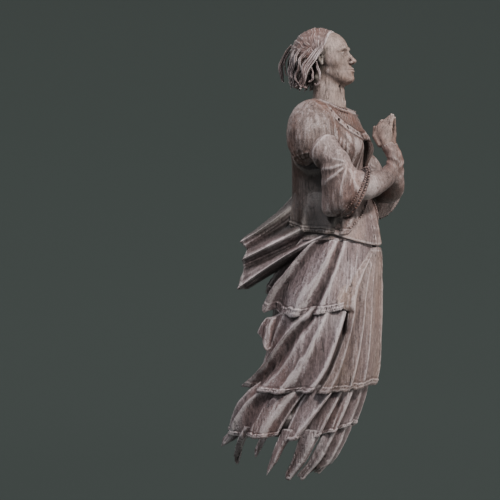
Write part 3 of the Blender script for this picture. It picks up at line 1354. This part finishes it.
# Stations of each lock, then its number of strands, its twist and how far it waves
SIDE_LOCKS = [
    ([(-54, -128, 1280, 3), (-80, -118, 1248, 6), (-95, -100, 1218, 10), (-99, -78, 1186, 10.5),
      (-95, -60, 1156, 9.5), (-90, -46, 1122, 7), (-88, -34, 1094, 3)], 5, 2.0, 4),
    ([(-72, -120, 1268, 3), (-90, -98, 1240, 7), (-101, -74, 1208, 10), (-100, -54, 1176, 9),
      (-95, -44, 1146, 8), (-90, -34, 1116, 5), (-88, -40, 1102, 2)], 4, 1.8, 5),
    ([(-76, -88, 1268, 3), (-91, -64, 1240, 7), (-99, -40, 1206, 9), (-95, -24, 1172, 8),
      (-88, -18, 1140, 6), (-82, -22, 1112, 2)], 4, 2.0, 6),
    ([(-72, -52, 1272, 3), (-86, -26, 1240, 7), (-90, -8, 1204, 9), (-82, 0, 1168, 8),
      (-74, 2, 1136, 6), (-70, 0, 1106, 2)], 4, 2.2, 6),
    ([(-56, -24, 1276, 3), (-70, 0, 1240, 7), (-70, 14, 1200, 8), (-62, 18, 1162, 7),
      (-56, 18, 1128, 5), (-52, 16, 1100, 2)], 4, 2.2, 5),
    ([(-84, -98, 1200, 3), (-88, -105, 1174, 5.5), (-87, -113, 1152, 5.5), (-86, -114, 1130, 5),
      (-85, -107, 1112, 4.5), (-84, -97, 1106, 3.5), (-83, -92, 1113, 2)], 2, 1.6, 0),
    ([(-86, -78, 1176, 3), (-88, -86, 1154, 5), (-86, -82, 1134, 5), (-84, -72, 1120, 4),
      (-82, -66, 1126, 2)], 2, 1.6, 3),
    ([(-82, -54, 1146, 4), (-84, -40, 1120, 6), (-82, -46, 1102, 4.5), (-80, -58, 1098, 2)],
     2, 1.6, 3),
    ([(-6, 34, 1282, 2.5), (-9, 58, 1254, 5), (-10, 74, 1220, 6.5), (-11, 82, 1188, 6),
      (-10, 79, 1156, 4.5), (-9, 70, 1134, 2)], 2, 1.2, 2),
    ([(-14, 30, 1262, 2.5), (-18, 48, 1236, 4.5), (-20, 58, 1204, 5), (-18, 56, 1174, 4),
      (-16, 48, 1156, 2)], 2, 1.2, 2),
]
for number, (stations, strands, twist, wave) in enumerate(SIDE_LOCKS):
    both_sides(f"lock_{number + 1}", *lock(stations, strands, twist, wave, phase=1.7 * number),
               LOCK_WOOD, 0.2, sharp=60.0)

KNOT = [(0, -14, 1268, 22), (0, 4, 1246, 32), (0, 12, 1212, 34), (0, 10, 1178, 26),
        (0, 6, 1154, 10)]
make_piece("hair_knot", *lock(KNOT, strands=9, twist=1.2, flat=0.95, columns=72, rows=48),
           HAIR_WOOD, 0.4, sharp=60.0)


# Rows of carved beads along the trims, made with geometry nodes

def bead_row(name, path, radius, spacing, material):
    """Sets small beads along a path of points, by a node tree with named sizes."""
    line = bpy.data.curves.new(name + "_path", "CURVE")
    line.dimensions = "3D"
    spline = line.splines.new("POLY")
    spline.points.add(len(path) - 1)
    for point, place in zip(spline.points, np.asarray(path) * MM):
        point.co = (*place, 1.0)
    holder = placed(name + "_path", line)
    tree = bpy.data.node_groups.new(name + "_beads", "GeometryNodeTree")
    sockets = {}
    for label, way, kind in (("Geometry", "INPUT", "Geometry"), ("Radius", "INPUT", "Float"),
                             ("Spacing", "INPUT", "Float"), ("Geometry", "OUTPUT", "Geometry")):
        sockets[label] = tree.interface.new_socket(
            label, in_out=way, socket_type="NodeSocket" + kind)
    given = tree.nodes.new("NodeGroupInput").outputs

    def add(kind, inputs, output=0):
        return fill(tree.nodes.new(kind), inputs).outputs[output]

    places = tree.nodes.new("GeometryNodeCurveToPoints")
    places.mode = "LENGTH"
    fill(places, {"Curve": given["Geometry"], "Length": given["Spacing"]})
    bead = add("GeometryNodeMeshIcoSphere", {"Radius": given["Radius"], "Subdivisions": 2})
    size = add("FunctionNodeRandomValue", {"Seed": 7, 2: 0.8, 3: 1.1}, 1)
    row = add("GeometryNodeInstanceOnPoints", {
        "Points": places.outputs["Points"], "Instance": bead, "Scale": size})
    row = add("GeometryNodeRealizeInstances", {"Geometry": row})
    row = add("GeometryNodeSetShadeSmooth", {"Geometry": row})
    row = add("GeometryNodeSetMaterial", {"Geometry": row, "Material": material})
    fill(tree.nodes.new("NodeGroupOutput"), {"Geometry": row})
    modifier = holder.modifiers.new("Beads", "NODES")
    modifier.node_group = tree
    modifier[sockets["Radius"].identifier] = radius * MM
    modifier[sockets["Spacing"].identifier] = spacing * MM
    shown = holder.evaluated_get(bpy.context.evaluated_depsgraph_get())
    mesh = bpy.data.meshes.new_from_object(shown)
    mesh.name = name
    bpy.data.objects.remove(holder)
    if not mesh.materials:
        mesh.materials.append(material)
    PIECES.append(placed(name, mesh))


def beads_both_sides(name, path, radius, spacing, material):
    """A row of beads on her right side and its mirror image."""
    path = np.asarray(path, dtype=float)
    bead_row(name + "_right", path, radius, spacing, material)
    bead_row(name + "_left", path * (-1.0, 1.0, 1.0), radius, spacing, material)


def jacket_edge_path(lift):
    """Points just behind the jacket's front edge."""
    t = np.linspace(0.12, 1.0, 80)
    angle = along(JACKET_EDGE, t) + 4.2
    z = 700 * (1 - t) + 519 * t + 4
    return BODICE.point(angle, z, lift + along([(0, 6), (0.5, 9), (1, 14)], t))


beads_both_sides("jacket_edge_beads", jacket_edge_path(1.5), 4.2, 11.0, FRONT_WOOD)

collar_turn = np.linspace(22, 176, 100)
for number, drop in enumerate((5, 19), 1):
    collar_path = BODICE.point(collar_turn, collar_height(collar_turn) - drop, 1.5)
    beads_both_sides(f"collar_beads_{number}", collar_path, 3.7, 8.5, DRESS_WOOD)

# Two rows round the wide sleeve's mouth: centre, half axes, radius and spacing of the beads
mouth_turn = np.linspace(-1.9, 2.3, 90)[:, None]
for name, centre, high, wide, radius, spacing in (
    ("sleeve_beads", (-199, -299, 680), np.array([0, -44, 88]) * 1.03,
     np.array([-43, -36, -17]) * 1.06, 4.4, 11.0),
    ("sleeve_trim_beads", (-201, -282, 675), np.array([0, -56, 84]) * 1.05,
     np.array([-48, -31, -15]) * 1.06, 3.6, 9.0),
):
    mouth_path = np.array(centre) + high * np.sin(mouth_turn) + wide * np.cos(mouth_turn)
    beads_both_sides(name, mouth_path, radius, spacing, DRESS_WOOD)


# Every piece stands for the one carved solid

for piece in PIECES:
    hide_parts(NODE)
    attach(piece, "root")


# Floor, light and camera

FLOOR_HEIGHT = -1.9


def sweep():
    """A plain floor that curves up into a backdrop on every side."""
    radii = np.array([3.0, 5.0, 6.0, 6.9, 7.6, 8.0, 8.2, 8.2])[:, None]
    heights = np.array([0.0, 0.0, 0.12, 0.5, 1.2, 2.2, 3.6, 9.0])[:, None] + FLOOR_HEIGHT
    count = 96
    turn = 2 * np.pi * np.arange(count) / count
    rings = np.stack(np.broadcast_arrays(radii * np.cos(turn), radii * np.sin(turn), heights), -1)
    points = rings.reshape(-1, 3).tolist() + [(0, 0, FLOOR_HEIGHT)]
    faces = grid_faces(len(radii), count, around=True)[:, ::-1].tolist()
    faces += [(len(points) - 1, k, (k + 1) % count) for k in range(count)]
    mesh = bpy.data.meshes.new("floor")
    mesh.from_pydata(points, [], faces)
    mesh.polygons.foreach_set("use_smooth", [True] * len(mesh.polygons))
    paint = bpy.data.materials.new("floor_paint")
    paint.use_nodes = True
    fill(paint.node_tree.nodes["Principled BSDF"], {
        "Base Color": (0.115, 0.14, 0.13), "Roughness": 0.9})
    mesh.materials.append(paint)
    placed("floor", mesh)


sweep()

# The camera looks along the first line, and the second one points right in its picture
FORWARD = Vector((0.92718, 0.37461, 0.0))
SIDEWAYS = Vector((0.37461, -0.92718, 0.0))
VIEW_CENTRE = SIDEWAYS * -0.2 + Vector((0, 0, 0.46))
CAMERA_DISTANCE = 5.6
VIEW_WIDTH = 2.0
SENSOR_WIDTH = 36.0

camera_data = bpy.data.cameras.new("camera")
camera_data.sensor_width = SENSOR_WIDTH
camera_data.lens = SENSOR_WIDTH * CAMERA_DISTANCE / VIEW_WIDTH
camera_data.clip_end = 60.0
camera = placed("camera", camera_data)
camera.location = VIEW_CENTRE - FORWARD * CAMERA_DISTANCE
camera.rotation_euler = FORWARD.to_track_quat("-Z", "Y").to_euler()
bpy.context.scene.camera = camera


def soft_light(name, place, aim, size, power, tint):
    """A round lamp that shines from its place to its aim."""
    data = bpy.data.lights.new(name, "AREA")
    data.shape = "DISK"
    data.size = size
    data.energy = power
    data.color = tint
    lamp = placed(name, data)
    lamp.location = place
    lamp.rotation_euler = (Vector(aim) - Vector(place)).to_track_quat("-Z", "Y").to_euler()


WARM = (1.0, 0.97, 0.94)
soft_light("key", (-2.1, -3.5, 3.9), (0, -0.1, 0.5), 0.6, 440, WARM)
soft_light("front", (0.6, -4.2, 0.7), (0, -0.2, 0.6), 1.0, 75, WARM)
soft_light("top", (-2.4, 1.4, 4.2), (0, 0, 0.6), 1.0, 130, (0.95, 0.95, 1.0))
soft_light("fill", (-4.6, -0.2, 1.0), (0, 0, 0.3), 2.6, 42, (0.9, 0.93, 1.0))
soft_light("back", (2.5, 3.6, 2.6), (0, 0, 0.4), 2.2, 30, WHITE)

world = bpy.context.scene.world or bpy.data.worlds.new("world")
bpy.context.scene.world = world
world.use_nodes = True
fill(world.node_tree.nodes["Background"], {"Color": (0.55, 0.58, 0.62), "Strength": 0.16})
